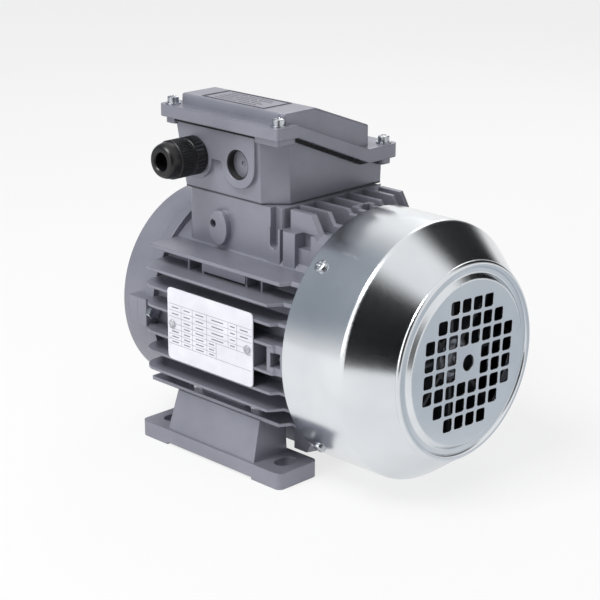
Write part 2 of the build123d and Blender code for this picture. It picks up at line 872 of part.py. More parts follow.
# Shaft, with a closed keyway and a centre hole in each end
with BuildPart() as shaft:
    revolve(turned(
        (shaft_tip, 0),
        (shaft_tip, shaft_radius - edge_break),
        (shaft_tip + edge_break, shaft_radius),
        (shoulder, shaft_radius),
        (shoulder, journal_radius),
        (front_bearing_back, journal_radius),
        (front_bearing_back, stop_radius),
        (-core_seat_half, stop_radius),
        (-core_seat_half, core_seat_radius),
        (core_seat_half, core_seat_radius),
        (core_seat_half, stop_radius),
        (back_bearing, stop_radius),
        (back_bearing, journal_radius),
        (fan_seat_start, journal_radius),
        (fan_seat_start, fan_seat_radius),
        (fan_seat_end - edge_break, fan_seat_radius),
        (fan_seat_end, fan_seat_radius - edge_break),
        (fan_seat_end, 0),
    ), axis=axle)
    with BuildSketch(Plane.XY.offset(shaft_height + shaft_radius - keyway_depth)):
        with Locations(((shaft_tip + shoulder) / 2, 0)):
            SlotOverall(keyway_length, keyway_width)
    extrude(amount=shaft_radius, mode=Mode.SUBTRACT)
    for end, side in ((shaft_tip, 1), (fan_seat_end, -1)):
        revolve(turned(
            (end, 0),
            (end, 2 * centre_radius),
            (end + side * 2 * centre_radius, centre_radius),
            (end + side * centre_depth, centre_radius),
            (end + side * (centre_depth + centre_radius), 0),
        ), axis=axle, mode=Mode.SUBTRACT)
save(shaft, "shaft")

# Rotor core, and the cage cast round it: two end rings with paddles
with BuildPart() as rotor_core:
    with BuildSketch(across(-core_half)):
        Circle(stator_bore - air_gap)
        Circle(core_seat_radius + fit, mode=Mode.SUBTRACT)
    extrude(amount=2 * core_half)
save(rotor_core, "rotor_core")

with BuildPart() as rotor_cage:
    with BuildSketch(across(core_half), across(-cage_ring_end)):
        Circle(cage_ring_outer)
        Circle(cage_ring_inner, mode=Mode.SUBTRACT)
    extrude(amount=cage_ring_end - core_half)
    with BuildSketch(across(core_half), across(-paddle_end)):
        with PolarLocations((cage_ring_inner + cage_ring_outer) / 2, paddle_count):
            Rectangle(cage_ring_outer - cage_ring_inner - 4, paddle_width)
    extrude(amount=paddle_end - core_half)
save(rotor_cage, "rotor_cage")

# Fan: back plate, hub and straight blades that work either way round
with BuildPart() as fan:
    with BuildSketch(across(fan_front)):
        Circle(fan_plate_radius)
    extrude(amount=fan_plate)
    with BuildSketch(across(fan_front)):
        Circle(fan_hub_radius)
    extrude(amount=fan_back - fan_front)
    with BuildSketch(across(fan_front + fan_plate)):
        with PolarLocations(blade_reach / 2, blade_count):
            Rectangle(blade_reach, blade_thickness)
    extrude(amount=fan_back - fan_front - fan_plate)
    revolve(turned(
        (fan_front - 1, 0),
        (fan_front - 1, fan_plate_radius),
        (fan_front + fan_plate, fan_plate_radius),
        (fan_front + fan_plate, blade_reach),
        (blade_break, blade_reach),
        (fan_back + 1, blade_tip_reach),
        (fan_back + 1, 0),
    ), axis=axle, mode=Mode.INTERSECT)
    with BuildSketch(across(fan_front)):
        Circle(fan_seat_radius + fit)
    extrude(amount=fan_back - fan_front, mode=Mode.SUBTRACT)
save(fan, "fan")

with BuildPart() as fan_clip:
    with BuildSketch(across(fan_back)):
        Circle(clip_radius)
        Circle(fan_seat_radius + fit, mode=Mode.SUBTRACT)
    extrude(amount=clip_thickness)
save(fan_clip, "fan_clip")

# Fan cover: one pressed sheet, with a grille of square holes
last_row = (len(grille_rows) - 1) / 2

with BuildPart() as fan_cover:
    with BuildSketch(lengthwise):
        with BuildLine() as skin:
            pressed = FilletPolyline(
                (cover_front, cover_radius),
                (cover_shoulder, cover_radius),
                (cover_lip, cover_lip_radius),
                (cover_lip + bead_height, (cover_lip_radius + groove_outer) / 2),
                (cover_lip, groove_outer),
                (cover_lip, groove_inner),
                (cover_back, disc_radius),
                (cover_back, peep_radius),
                radius=[cover_shoulder_round] + 5 * [bead_round],
            )
            offset(pressed, amount=cover_sheet, side=Side.RIGHT, mode=Mode.REPLACE)
        make_face()
    revolve(axis=axle)
    with BuildSketch(across(cover_back, grille_turn)):
        for row, count in enumerate(grille_rows):
            for column in range(count):
                place = (
                    grille_pitch * (column - (count - 1) / 2),
                    grille_pitch * (last_row - row),
                )
                if max(abs(place[0]), abs(place[1])) > grille_hub:
                    with Locations(place):
                        RectangleRounded(grille_hole, grille_hole, grille_hole_corner)
    extrude(amount=-2 * cover_sheet, mode=Mode.SUBTRACT)
    with BuildSketch(*[spoke(cover_screw_x, cover_radius, angle) for angle in cover_screw_angles]):
        Circle(cover_screw_radius + hole_gap)
    extrude(amount=-2 * cover_sheet, mode=Mode.SUBTRACT)
save(fan_cover, "fan_cover")

with BuildPart() as fan_cover_screws:
    with BuildSketch(*[spoke(cover_screw_x, cover_radius, angle) for angle in cover_screw_angles]):
        Circle(cover_screw_head)
    extrude(amount=cover_screw_rise)
    with BuildSketch(*[spoke(cover_screw_x, cover_radius, angle) for angle in cover_screw_angles]):
        Circle(cover_screw_radius)
    extrude(amount=-cover_screw_depth)
save(fan_cover_screws, "fan_cover_screws")

# Terminal box: leaning walls, a rim that steps down to the far side, lugs for the lid's
# screws, and a thick pad round the two cable entries
front_lean = (box_front - box_front_top) / (box_top - box_bottom)
side_lean = (box_half_top - box_half) / (box_top - box_bottom)
lid_under = box_top + gasket_thickness
lid_under_far = rim_far_level + gasket_thickness


def box_section(level, grow):
    # The box's outline at this level, grown outwards or, below zero, inwards.
    rise = level - box_bottom
    front = box_front - front_lean * rise
    half = box_half + side_lean * rise
    with BuildSketch(Plane.XY.offset(level)) as section:
        with BuildLine():
            Polyline(
                (front, -half),
                (box_back - box_chamfer, -half),
                (box_back, box_chamfer - half),
                (box_back, half),
                (front, half),
                close=True,
            )
        make_face()
        if grow != 0:
            offset(amount=grow, kind=Kind.INTERSECTION)
    return section.sketch


def above_rim(lift):
    # The side view of all that lies above the box's stepped rim, raised by lift.
    return outline(
        (-lid_half, box_top + lift),
        (rim_near, box_top + lift),
        (rim_far, rim_far_level + lift),
        (lid_half, rim_far_level + lift),
        (lid_half, 2 * box_top),
        (-lid_half, 2 * box_top),
    )


def ear_plan(side, gap):
    # The two screw lugs on one side, seen from above. On the near side the one by the fan
    # fills out the chamfered corner and is seated in its wall, and on the far side they
    # reach in to the wall.
    reach = ear_outer - ear_inner + 2 * gap
    middle = (ear_inner + ear_outer) / 2
    front = box_front - front_lean * (rim_far_level - box_bottom)
    corner = box_back - box_chamfer - ear_seat - gap
    with BuildSketch() as plan:
        with Locations((lid_x - middle, side * middle), (lid_x + middle, side * middle)):
            RectangleRounded(reach, reach, ear_corner)
        if side < 0:
            add(outline(
                (corner, -box_half_top),
                (corner + box_half_top + rim_near, rim_near),
                (lid_x + ear_outer, rim_near),
                (lid_x + ear_outer, -middle),
                (lid_x + middle, -ear_outer),
                (corner, -ear_outer - gap),
            ))
        else:
            with Locations(((front + lid_x - middle) / 2, side * middle)):
                Rectangle(front + 1 - lid_x + middle, reach)
    return plan.sketch


with BuildPart() as terminal_box:
    loft([box_section(box_bottom, 0), box_section(box_top, 0)])
    with BuildSketch(Plane.YZ.offset(lid_x - lid_half)):
        add(above_rim(0))
    extrude(amount=2 * lid_half, mode=Mode.SUBTRACT)
    for side, top in ((-1, lid_under), (1, lid_under_far)):
        with BuildSketch(Plane.XY.offset(top)):
            add(ear_plan(side, 0))
        extrude(amount=-gasket_thickness - ear_below)
    with BuildSketch(Plane.XZ.offset(entry_face)):
        with Locations((gland_x, entry_z), (blank_x, entry_z)):
            Circle(entry_pad_radius)
        with Locations(((gland_x + blank_x) / 2, (entry_z + box_top) / 2)):
            Rectangle(blank_x - gland_x + 2 * entry_pad_radius, box_top - entry_z)
    extrude(amount=entry_back - entry_face)
    loft([box_section(box_bottom + box_floor, -box_wall), box_section(box_top, -box_wall)], mode=Mode.SUBTRACT)
    with BuildSketch(Plane.XZ.offset(entry_face)):
        with Locations((gland_x, entry_z), (blank_x, entry_z)):
            Circle(entry_pad_radius)
    extrude(amount=entry_back - entry_face)
    with BuildSketch(Plane.XZ.offset(entry_face)):
        with Locations((gland_x, entry_z)):
            Circle(thread_radius + fit)
    extrude(amount=entry_back - entry_face, mode=Mode.SUBTRACT)
    with BuildSketch(Plane.XZ.offset(entry_face)):
        with Locations((blank_x, entry_z)):
            Circle(blank_radius)
    extrude(amount=-blank_depth, mode=Mode.SUBTRACT)
    with BuildSketch(Plane.XZ.offset(entry_face - blank_depth)):
        with Locations((blank_x, entry_z)):
            Circle(blank_mark_radius)
    extrude(amount=-blank_mark_depth, mode=Mode.SUBTRACT)
    with BuildSketch(Plane.XY.offset(box_bottom)):
        with Locations(((well_front + well_back) / 2, 0)):
            Rectangle(well_back - well_front, 2 * well_half)
        with Locations(*box_screw_places):
            Circle(box_screw_radius + hole_gap)
        with Locations((board_x, board_screw_y), (board_x, -board_screw_y)):
            Circle(board_screw_radius + fit)
        with Locations((earth_screw_x, earth_screw_y)):
            Circle(box_screw_radius + fit)
    extrude(amount=box_floor, mode=Mode.SUBTRACT)
    for side, top in ((-1, lid_under), (1, lid_under_far)):
        with BuildSketch(Plane.XY.offset(top)):
            with Locations(
                (lid_x - lid_screw_offset, side * lid_screw_offset),
                (lid_x + lid_screw_offset, side * lid_screw_offset),
            ):
                Circle(lid_screw_radius + fit)
        extrude(amount=-gasket_thickness - ear_below, mode=Mode.SUBTRACT)
save(terminal_box, "terminal_box")

with BuildPart() as box_gasket:
    with BuildSketch(Plane.XY.offset(pedestal_top)):
        add(box_section(box_bottom, 0).moved(Location((0, 0, -box_bottom))))
        with Locations(((well_front + well_back) / 2, 0)):
            Rectangle(well_back - well_front, 2 * well_half, mode=Mode.SUBTRACT)
        with Locations(*box_screw_places):
            Circle(box_screw_radius + hole_gap, mode=Mode.SUBTRACT)
    extrude(amount=box_bottom - pedestal_top)
save(box_gasket, "box_gasket")

with BuildPart() as box_screws:
    with BuildSketch(Plane.XY.offset(box_bottom + box_floor)):
        with Locations(*box_screw_places):
            Circle(box_screw_head)
    extrude(amount=box_screw_rise)
    with BuildSketch(Plane.XY.offset(box_bottom + box_floor)):
        with Locations(*box_screw_places):
            Circle(box_screw_radius)
    extrude(amount=-box_screw_length)
save(box_screws, "box_screws")

# Gasket under the lid: it follows the box's walls and stands a little proud of them
with BuildPart() as lid_gasket:
    loft([box_section(box_bottom, gasket_proud), box_section(lid_under, gasket_proud)])
    loft([
        box_section(box_bottom, -box_wall - gasket_lap),
        box_section(lid_under, -box_wall - gasket_lap),
    ], mode=Mode.SUBTRACT)
    with BuildSketch(Plane.YZ.offset(lid_x - lid_half)):
        add(above_rim(0))
    extrude(amount=2 * lid_half, mode=Mode.INTERSECT)
    with BuildSketch(Plane.YZ.offset(lid_x - lid_half)):
        add(above_rim(gasket_thickness))
    extrude(amount=2 * lid_half, mode=Mode.SUBTRACT)
    for side in (-1, 1):
        with BuildSketch(Plane.XY.offset(box_bottom)):
            add(ear_plan(side, cover_gap))
        extrude(amount=box_bottom, mode=Mode.SUBTRACT)
save(lid_gasket, "lid_gasket")

# Lid: a stepped plate with a hollow plateau, spot-faced for its four screws
lid_strip = lid_under + lid_edge
lid_strip_far = lid_under_far + lid_far_edge
lid_screw_seats = [
    (lid_x - lid_screw_offset, -lid_screw_offset, lid_strip),
    (lid_x + lid_screw_offset, -lid_screw_offset, lid_strip),
    (lid_x - lid_screw_offset, lid_screw_offset, lid_strip_far),
    (lid_x + lid_screw_offset, lid_screw_offset, lid_strip_far),
]
plateau_top = lid_strip + plateau_rise
plateau_end = lid_strip_far + plateau_far_rise

with BuildPart() as terminal_lid:
    with BuildSketch(Plane.YZ.offset(plateau_front)):
        add(outline(
            (plateau_near, lid_under + lid_wall),
            (plateau_near, plateau_top),
            (plateau_break, plateau_top),
            (plateau_far, plateau_end),
            (plateau_far, lid_under_far + lid_wall),
            (rim_far, lid_under_far + lid_wall),
            (rim_near, lid_under + lid_wall),
        ))
    extrude(amount=plateau_back - plateau_front)
    upright = terminal_lid.edges().filter_by(Axis.Z)
    fillet(upright, plateau_round)
    crown = terminal_lid.faces().filter_by(lambda face: face.normal_at().Z > 0.5)
    fillet(crown.edges(), plateau_edge)
    with BuildSketch(Plane.YZ.offset(lid_x - lid_half)):
        add(outline(
            (-lid_half, lid_under),
            (-lid_half, lid_strip),
            (rim_near, lid_strip),
            (rim_far, lid_strip_far),
            (lid_half, lid_strip_far),
            (lid_half, lid_under_far),
            (rim_far, lid_under_far),
            (rim_near, lid_under),
        ))
    extrude(amount=2 * lid_half)
    corners = terminal_lid.edges().filter_by(Axis.Z).group_by(Axis.Y)
    fillet(corners[0] + corners[-1], lid_corner)
    with BuildSketch(Plane.YZ.offset(plateau_front + lid_wall)):
        add(outline(
            (plateau_near + lid_wall, rim_far_level),
            (plateau_near + lid_wall, plateau_top - lid_wall),
            (plateau_break, plateau_top - lid_wall),
            (plateau_far - lid_wall, plateau_end - lid_wall),
            (plateau_far - lid_wall, rim_far_level),
        ))
    extrude(amount=plateau_back - plateau_front - 2 * lid_wall, mode=Mode.SUBTRACT)
    for place in lid_screw_seats:
        with BuildSketch(Plane.XY.offset(place[2])):
            with Locations(place[:2]):
                Circle(lid_washer_radius + hole_gap)
        extrude(amount=plateau_top, mode=Mode.SUBTRACT)
        with BuildSketch(Plane.XY.offset(place[2])):
            with Locations(place[:2]):
                Circle(lid_screw_radius + hole_gap)
        extrude(amount=-lid_far_edge, mode=Mode.SUBTRACT)
save(terminal_lid, "terminal_lid")

with BuildPart() as lid_washers:
    for place in lid_screw_seats:
        with BuildSketch(Plane.XY.offset(place[2])):
            with Locations(place[:2]):
                Circle(lid_washer_radius)
                Circle(lid_screw_radius + hole_gap, mode=Mode.SUBTRACT)
        extrude(amount=lid_washer_thickness)
save(lid_washers, "lid_washers")

with BuildPart() as lid_screws:
    for place in lid_screw_seats:
        with BuildSketch(Plane.XY.offset(place[2] + lid_washer_thickness)):
            with Locations(place[:2]):
                Circle(lid_screw_head)
        extrude(amount=lid_screw_rise)
        with BuildSketch(Plane.XY.offset(place[2] + lid_washer_thickness)):
            with Locations(place[:2]):
                Circle(lid_screw_radius)
        extrude(amount=-lid_screw_length)
save(lid_screws, "lid_screws")

# Terminal board on its two feet, with studs, links, nuts and screws
board_top = board_level + board_thickness

with BuildPart() as terminal_board:
    with BuildSketch(Plane.XY.offset(board_level)):
        with Locations((board_x, 0)):
            Rectangle(board_length, board_width)
    extrude(amount=board_thickness)
    with BuildSketch(Plane.XY.offset(box_bottom + box_floor)):
        with Locations((board_x, 0)):
            with GridLocations(0, board_width - board_foot, 1, 2):
                Rectangle(board_length, board_foot)
    extrude(amount=board_level - box_bottom - box_floor)
    with BuildSketch(Plane.XY.offset(board_top)):
        with Locations((board_x, 0)):
            with GridLocations(stud_pitch_x, stud_pitch_y, 2, 3):
                Circle(stud_radius + fit)
    extrude(amount=-board_thickness, mode=Mode.SUBTRACT)
    with BuildSketch(Plane.XY.offset(board_top)):
        with Locations((board_x, board_screw_y), (board_x, -board_screw_y)):
            Circle(board_screw_radius + fit)
    extrude(amount=box_bottom - board_top, mode=Mode.SUBTRACT)
save(terminal_board, "terminal_board")

with BuildPart() as terminal_studs:
    with BuildSketch(Plane.XY.offset(board_level)):
        with Locations((board_x, 0)):
            with GridLocations(stud_pitch_x, stud_pitch_y, 2, 3):
                Circle(stud_radius)
    extrude(amount=stud_top - board_level)
save(terminal_studs, "terminal_studs")

with BuildPart() as terminal_links:
    with BuildSketch(Plane.XY.offset(board_top)):
        with Locations((board_x, 0)):
            with GridLocations(0, stud_pitch_y, 1, 3):
                SlotCenterToCenter(stud_pitch_x, link_width)
            with GridLocations(stud_pitch_x, stud_pitch_y, 2, 3):
                Circle(stud_radius + fit, mode=Mode.SUBTRACT)
    extrude(amount=link_thickness)
save(terminal_links, "terminal_links")

with BuildPart() as terminal_nuts:
    with BuildSketch(Plane.XY.offset(board_top + link_thickness)):
        with Locations((board_x, 0)):
            with GridLocations(stud_pitch_x, stud_pitch_y, 2, 3):
                RegularPolygon(nut_across / 2, 6, major_radius=False)
                Circle(stud_radius + fit, mode=Mode.SUBTRACT)
    extrude(amount=nut_height)
save(terminal_nuts, "terminal_nuts")

with BuildPart() as board_screws:
    with BuildSketch(Plane.XY.offset(board_top)):
        with Locations((board_x, board_screw_y), (board_x, -board_screw_y)):
            Circle(2 * board_screw_radius)
    extrude(amount=board_screw_radius)
    with BuildSketch(Plane.XY.offset(board_top)):
        with Locations((board_x, board_screw_y), (board_x, -board_screw_y)):
            Circle(board_screw_radius)
    extrude(amount=box_bottom - board_top)
save(board_screws, "board_screws")

with BuildPart() as earth_screw:
    with BuildSketch(Plane.XY.offset(box_bottom + box_floor)):
        with Locations((earth_screw_x, earth_screw_y)):
            Circle(box_screw_head)
    extrude(amount=box_screw_rise)
    with BuildSketch(Plane.XY.offset(box_bottom + box_floor)):
        with Locations((earth_screw_x, earth_screw_y)):
            Circle(box_screw_radius)
    extrude(amount=-box_floor)
save(earth_screw, "earth_screw")

# Cable gland, screwed into the box: body, seal, domed nut, and a locknut inside the wall
gland_axis = Axis((gland_x, 0, entry_z), (0, -1, 0))
gland_side = Plane(origin=(gland_x, 0, entry_z), x_dir=(0, -1, 0), z_dir=(-1, 0, 0))


def gland_ring(*corners):
    # A face with corners at (distance towards the near side, radius), to be revolved.
    with BuildSketch(gland_side) as face:
        with BuildLine():
            Polyline(*corners, close=True)
        make_face()
    return face.sketch


locknut_back = entry_back - locknut_thickness
seal_socket = gland_seal_radius + fit
sleeve_end = gland_nut_end - 1

with BuildPart() as gland_body:
    revolve(gland_ring(
        (locknut_back - 2, gland_bore),
        (locknut_back - 2, thread_radius),
        (entry_face, thread_radius),
        (entry_face, gland_radius),
        (gland_body_end, gland_radius),
        (gland_body_end, sleeve_radius),
        (sleeve_end, sleeve_radius),
        (sleeve_end, seal_socket),
        (gland_body_end, seal_socket),
        (gland_body_end, gland_bore),
    ), axis=gland_axis)
save(gland_body, "gland_body")

with BuildPart() as gland_seal:
    revolve(gland_ring(
        (gland_body_end, gland_bore),
        (gland_body_end, gland_seal_radius),
        (gland_nut_end, gland_seal_radius),
        (gland_nut_end, gland_bore),
    ), axis=gland_axis)
save(gland_seal, "gland_seal")

with BuildPart() as gland_nut:
    with BuildSketch(gland_side):
        with BuildLine():
            dome = ThreePointArc(
                (gland_nut_end, gland_radius),
                ((gland_nut_end + gland_tip) / 2 + 0.6, (gland_radius + gland_tip_radius) / 2 + 0.8),
                (gland_tip, gland_tip_radius),
            )
            Polyline(
                dome @ 1,
                (gland_tip, gland_bore),
                (gland_nut_end, gland_bore),
                (gland_nut_end, sleeve_radius + fit),
                (gland_body_end, sleeve_radius + fit),
                (gland_body_end, gland_radius),
                dome @ 0,
            )
        make_face()
    revolve(axis=gland_axis)
save(gland_nut, "gland_nut")

with BuildPart() as gland_locknut:
    with BuildSketch(Plane.XZ.offset(entry_back)):
        with Locations((gland_x, entry_z)):
            RegularPolygon(locknut_across / 2, 6, major_radius=False, rotation=30)
            Circle(thread_radius + fit, mode=Mode.SUBTRACT)
    extrude(amount=-locknut_thickness)
save(gland_locknut, "gland_locknut")

# Rating plate on the tips of the fins, and its two rivets
with BuildPart() as nameplate:
    with BuildSketch(Plane.XZ.offset(fin_reach)):
        with Locations((plate_x, plate_z)):
            RectangleRounded(plate_length, plate_height, plate_corner)
            with GridLocations(rivet_pitch, 0, 2, 1):
                Circle(rivet_radius + fit, mode=Mode.SUBTRACT)
    extrude(amount=plate_thickness)
save(nameplate, "nameplate")

with BuildPart() as nameplate_rivets:
    with BuildSketch(Plane.XZ.offset(fin_reach + plate_thickness)):
        with Locations((plate_x, plate_z)):
            with GridLocations(rivet_pitch, 0, 2, 1):
                Circle(rivet_head)
    extrude(amount=rivet_rise)
    with BuildSketch(Plane.XZ.offset(fin_reach + plate_thickness)):
        with Locations((plate_x, plate_z)):
            with GridLocations(rivet_pitch, 0, 2, 1):
                Circle(rivet_radius)
    extrude(amount=-rivet_length)
save(nameplate_rivets, "nameplate_rivets")
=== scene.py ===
import json
import math

import bmesh
import bpy
import numpy as np
from mathutils import Matrix, Vector


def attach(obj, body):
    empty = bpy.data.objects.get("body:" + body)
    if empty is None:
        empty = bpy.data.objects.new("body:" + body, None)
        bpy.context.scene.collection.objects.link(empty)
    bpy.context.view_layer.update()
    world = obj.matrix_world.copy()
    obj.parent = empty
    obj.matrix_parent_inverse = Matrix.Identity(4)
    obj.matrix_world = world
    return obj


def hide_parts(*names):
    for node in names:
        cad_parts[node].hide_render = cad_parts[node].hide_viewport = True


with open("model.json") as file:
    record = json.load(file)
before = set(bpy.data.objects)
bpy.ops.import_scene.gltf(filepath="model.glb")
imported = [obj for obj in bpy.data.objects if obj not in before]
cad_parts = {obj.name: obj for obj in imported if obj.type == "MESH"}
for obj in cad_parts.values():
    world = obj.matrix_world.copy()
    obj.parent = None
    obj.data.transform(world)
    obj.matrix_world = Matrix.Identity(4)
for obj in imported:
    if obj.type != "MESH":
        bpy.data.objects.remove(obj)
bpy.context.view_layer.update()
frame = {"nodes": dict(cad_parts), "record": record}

# A foot-mounted three-phase motor: -X is the drive end, -Y the side with the cable entries.
print("stage: frame loaded,", len(frame["nodes"]), "nodes")

nodes = frame["nodes"]
scene = bpy.context.scene


def linearColor(hexCode):  # sRGB hex, as a colour picker shows it, to linear RGBA
    parts = np.array([int(hexCode[i:i + 2], 16) / 255 for i in (1, 3, 5)])
    low = parts / 12.92
    high = ((parts + 0.055) / 1.055) ** 2.4
    return (*np.where(parts <= 0.04045, low, high), 1.0)


def addNode(material, kind, links=None, **settings):  # a node, its settings and what feeds it
    node = material.node_tree.nodes.new(kind)
    for name, value in settings.items():
        setattr(node, name, value)
    for socket, value in (links or {}).items():
        target = node.inputs[socket]
        if isinstance(value, bpy.types.NodeSocket):
            material.node_tree.links.new(value, target)
        else:
            target.default_value = value
    return node


def newMaterial(name):
    material = bpy.data.materials.new(name)
    material.use_nodes = True
    material.node_tree.nodes.clear()
    return material


def finishMaterial(material, shader):
    addNode(material, "ShaderNodeOutputMaterial", {"Surface": shader.outputs[0]})
    return material


# How every finish spreads its two colours, its roughness and its bump
speckle = {
    "cloudDetail": 3.0, "cloudRoughness": 0.55, "grainDetail": 2.0, "grainRoughness": 0.6,
    "darkAt": 0.35, "paleAt": 0.68, "grainLow": 0.3, "grainHigh": 0.7,
    "bumpShare": 0.25, "edgeSamples": 4,
}


def speckledMaterial(name, look):
    # A solid finish with a fine grain: two colours mixed by a slow cloud, roughness and a
    # fine bump that wander with the grain, and softened edges.
    material = newMaterial(name)
    place = addNode(material, "ShaderNodeTexCoord").outputs["Object"]
    cloud = addNode(material, "ShaderNodeTexNoise", {
        "Vector": place, "Scale": 1 / look["cloudSize"],
        "Detail": speckle["cloudDetail"], "Roughness": speckle["cloudRoughness"]})
    grain = addNode(material, "ShaderNodeTexNoise", {
        "Vector": place, "Scale": 1 / look["grainSize"],
        "Detail": speckle["grainDetail"], "Roughness": speckle["grainRoughness"]})
    tone = addNode(material, "ShaderNodeValToRGB", {"Fac": cloud.outputs["Fac"]})
    tone.color_ramp.elements[0].position = speckle["darkAt"]
    tone.color_ramp.elements[0].color = linearColor(look["dark"])
    tone.color_ramp.elements[1].position = speckle["paleAt"]
    tone.color_ramp.elements[1].color = linearColor(look["pale"])
    rough = addNode(material, "ShaderNodeMapRange", {
        "Value": grain.outputs["Fac"],
        "From Min": speckle["grainLow"], "From Max": speckle["grainHigh"],
        "To Min": look["roughness"] - look["roughSpread"],
        "To Max": look["roughness"] + look["roughSpread"]})
    edge = addNode(material, "ShaderNodeBevel", {"Radius": look["edge"]},
                   samples=speckle["edgeSamples"])
    bump = addNode(material, "ShaderNodeBump", {
        "Height": grain.outputs["Fac"], "Strength": look["bump"],
        "Distance": look["grainSize"] * speckle["bumpShare"], "Normal": edge.outputs["Normal"]})
    shader = addNode(material, "ShaderNodeBsdfPrincipled", {
        "Base Color": tone.outputs["Color"], "Roughness": rough.outputs["Result"],
        "Metallic": look["metallic"], "Normal": bump.outputs["Normal"]})
    return finishMaterial(material, shader)


# One finish for each real material, sizes in metres; two darker tones of the casting are painted
# shade
finishes = {
    # pressure-cast aluminium under satin lacquer: cool grey, soft sheen, faint cast grain
    "castAluminiumSatinLacquer": {
        "dark": "#858691", "pale": "#8e8f9a", "roughness": 0.38, "roughSpread": 0.06,
        "metallic": 0.45, "cloudSize": 0.03, "grainSize": 0.0009, "bump": 0.22, "edge": 0.0009},
    # spun steel sheet, zinc plated and brightened: mirror-like, only just softened
    "zincPlatedSteelSheet": {
        "dark": "#d9dde1", "pale": "#e6e9ec", "roughness": 0.19, "roughSpread": 0.015,
        "metallic": 1.0, "cloudSize": 0.06, "grainSize": 0.0016, "bump": 0.02, "edge": 0.0005},
    # cold-headed steel screws with bright zinc
    "zincPlatedScrewSteel": {
        "dark": "#a9acb2", "pale": "#d5d8dc", "roughness": 0.24, "roughSpread": 0.05,
        "metallic": 1.0, "cloudSize": 0.004, "grainSize": 0.0005, "bump": 0.05, "edge": 0.0003},
    # medium-carbon steel, turned and ground
    "groundShaftSteel": {
        "dark": "#8f9196", "pale": "#b4b6ba", "roughness": 0.27, "roughSpread": 0.05,
        "metallic": 1.0, "cloudSize": 0.01, "grainSize": 0.0004, "bump": 0.06, "edge": 0.0003},
    # nylon 66, moulded black
    "mouldedBlackNylon": {
        "dark": "#0a0a0c", "pale": "#111114", "roughness": 0.34, "roughSpread": 0.05,
        "metallic": 0.0, "cloudSize": 0.01, "grainSize": 0.0007, "bump": 0.12, "edge": 0.0005},
    # nitrile rubber sheet, die cut; the same dark finish also paints shade on the blanked entry's
    # sleeve
    "nitrileRubberAndPaintedShade": {
        "dark": "#141416", "pale": "#1e1e20", "roughness": 0.72, "roughSpread": 0.08,
        "metallic": 0.0, "cloudSize": 0.01, "grainSize": 0.0005, "bump": 0.2, "edge": 0.0003},
    # compressed fibre sheet under the box, die cut
    "dieCutGreyFibreSheet": {
        "dark": "#3e3e45", "pale": "#4a4a52", "roughness": 0.7, "roughSpread": 0.06,
        "metallic": 0.0, "cloudSize": 0.01, "grainSize": 0.0006, "bump": 0.2, "edge": 0.0003},
    # aluminium foil plate with a matte white print
    "printedAluminiumPlate": {
        "dark": "#d6d6df", "pale": "#e2e2ea", "roughness": 0.45, "roughSpread": 0.04,
        "metallic": 0.1, "cloudSize": 0.02, "grainSize": 0.0006, "bump": 0.03, "edge": 0.0002},
    # glass-filled polypropylene, moulded mid grey
    "mouldedGreyPolypropylene": {
        "dark": "#3c3e42", "pale": "#505257", "roughness": 0.5, "roughSpread": 0.06,
        "metallic": 0.0, "cloudSize": 0.02, "grainSize": 0.0008, "bump": 0.15, "edge": 0.0006},
    # silicon-steel laminations, stacked and varnished
    "varnishedLaminationSteel": {
        "dark": "#3c3c40", "pale": "#56565b", "roughness": 0.5, "roughSpread": 0.1,
        "metallic": 0.8, "cloudSize": 0.008, "grainSize": 0.0006, "bump": 0.2, "edge": 0.0003},
    # enamelled copper wire, dipped in varnish
    "enamelledCopperWire": {
        "dark": "#7a3418", "pale": "#b0592c", "roughness": 0.36, "roughSpread": 0.08,
        "metallic": 0.7, "cloudSize": 0.004, "grainSize": 0.0009, "bump": 0.5, "edge": 0.0006},
    # aluminium as it leaves the die
    "rawDieCastAluminium": {
        "dark": "#a3a4a8", "pale": "#c0c1c5", "roughness": 0.42, "roughSpread": 0.08,
        "metallic": 0.95, "cloudSize": 0.01, "grainSize": 0.0008, "bump": 0.25, "edge": 0.0005},
    # phenolic moulding compound, red-brown
    "mouldedPhenolicResin": {
        "dark": "#5a2415", "pale": "#74331f", "roughness": 0.4, "roughSpread": 0.06,
        "metallic": 0.0, "cloudSize": 0.008, "grainSize": 0.0006, "bump": 0.1, "edge": 0.0005},
    # turned brass
    "turnedBrass": {
        "dark": "#a8843f", "pale": "#cfac62", "roughness": 0.28, "roughSpread": 0.05,
        "metallic": 1.0, "cloudSize": 0.004, "grainSize": 0.0004, "bump": 0.05, "edge": 0.0003},
    # silicone-insulated lead
    "extrudedSiliconeInsulation": {
        "dark": "#7c1a16", "pale": "#96231d", "roughness": 0.5, "roughSpread": 0.05,
        "metallic": 0.0, "cloudSize": 0.01, "grainSize": 0.0005, "bump": 0.05, "edge": 0.0002},
    # the same casting's colour darkened as painted shade: a raised strip in this tone stands in for
    # the shadow an engraved groove would hold
    "shadedCastEdge": {
        "dark": "#4e4c56", "pale": "#5a5862", "roughness": 0.5, "roughSpread": 0.05,
        "metallic": 0.1, "cloudSize": 0.03, "grainSize": 0.0009, "bump": 0.15, "edge": 0.0002},
    # a little darker than the lacquer, as painted shade on raised lettering lines
    "shadedCastRuling": {
        "dark": "#77757e", "pale": "#83818a", "roughness": 0.45, "roughSpread": 0.05,
        "metallic": 0.3, "cloudSize": 0.03, "grainSize": 0.0009, "bump": 0.15, "edge": 0.0002},
    # screen ink on the plate
    "screenPrintedInk": {
        "dark": "#6e6e77", "pale": "#7c7c85", "roughness": 0.55, "roughSpread": 0.04,
        "metallic": 0.0, "cloudSize": 0.004, "grainSize": 0.0004, "bump": 0.02, "edge": 0.0001},
}
materials = {name: speckledMaterial(name, look) for name, look in finishes.items()}

